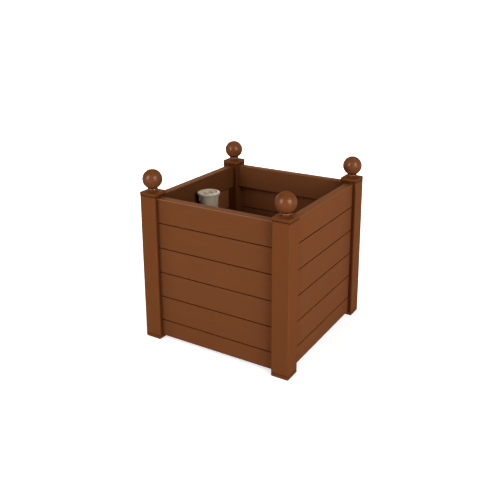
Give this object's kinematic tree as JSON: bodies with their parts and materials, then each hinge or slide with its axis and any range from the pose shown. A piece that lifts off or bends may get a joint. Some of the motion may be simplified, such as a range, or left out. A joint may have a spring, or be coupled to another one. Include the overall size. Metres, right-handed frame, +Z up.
{
  "type": "versailles planter",
  "caption": "Square planter with boarded walls between corner posts, ball finials on square caps, and a water reservoir in its base with a filler tube and lift-off lid.",
  "frame": {"origin": "bottom centre of the planter, on the ground between its four feet", "axes": "+Z up, +X to the right as seen facing the front wall, +Y from the front wall to the back wall"},
  "size_m": [0.6458, 0.6458, 0.6848],
  "materials": {
    "post": "satin brown with a light embossed wood grain",
    "board": "satin brown with a light embossed wood grain",
    "top_rail": "satin brown with a light embossed wood grain",
    "post_cap": "smooth moulded satin brown",
    "finial": "smooth moulded satin brown with soft highlights",
    "foot": "moulded brown, scuffed at its lower edge",
    "floor": "extruded brown, unpolished",
    "reservoir": "fine moulded texture, near black",
    "filler": "frosted pale grey, slightly translucent"
  },
  "bodies": {
    "planter": {"front_left_foot": "foot", "front_left_post": "post", "front_left_post_cap": "post_cap", "front_left_ball_finial": "finial", "front_right_foot": "foot", "front_right_post": "post", "front_right_post_cap": "post_cap", "front_right_ball_finial": "finial", "back_right_foot": "foot", "back_right_post": "post", "back_right_post_cap": "post_cap", "back_right_ball_finial": "finial", "back_left_foot": "foot", "back_left_post": "post", "back_left_post_cap": "post_cap", "back_left_ball_finial": "finial", "front_board_1": "board", "front_board_2": "board", "front_board_3": "board", "front_board_4": "board", "front_board_5": "board", "front_top_rail": "top_rail", "front_floor_ledger": "floor", "right_board_1": "board", "right_board_2": "board", "right_board_3": "board", "right_board_4": "board", "right_board_5": "board", "right_top_rail": "top_rail", "right_floor_ledger": "floor", "back_board_1": "board", "back_board_2": "board", "back_board_3": "board", "back_board_4": "board", "back_board_5": "board", "back_top_rail": "top_rail", "back_floor_ledger": "floor", "left_board_1": "board", "left_board_2": "board", "left_board_3": "board", "left_board_4": "board", "left_board_5": "board", "left_top_rail": "top_rail", "left_floor_ledger": "floor", "floor_slat_1": "floor", "floor_slat_2": "floor", "floor_slat_3": "floor", "floor_slat_4": "floor", "floor_slat_5": "floor", "floor_slat_6": "floor", "floor_slat_7": "floor", "reservoir_tank": "reservoir", "soil_shelf": "reservoir", "wicking_cup_1": "reservoir", "wicking_cup_2": "reservoir", "filler_tube": "filler", "filler_cup": "filler"},
    "lid": {"filler_lid": "filler"}
  },
  "joints": [
    {"name": "lid_lift", "type": "slide", "parent": "planter", "child": "lid", "axis": [0, 0, 1], "range_m": [0, 0.2]}
  ]
}
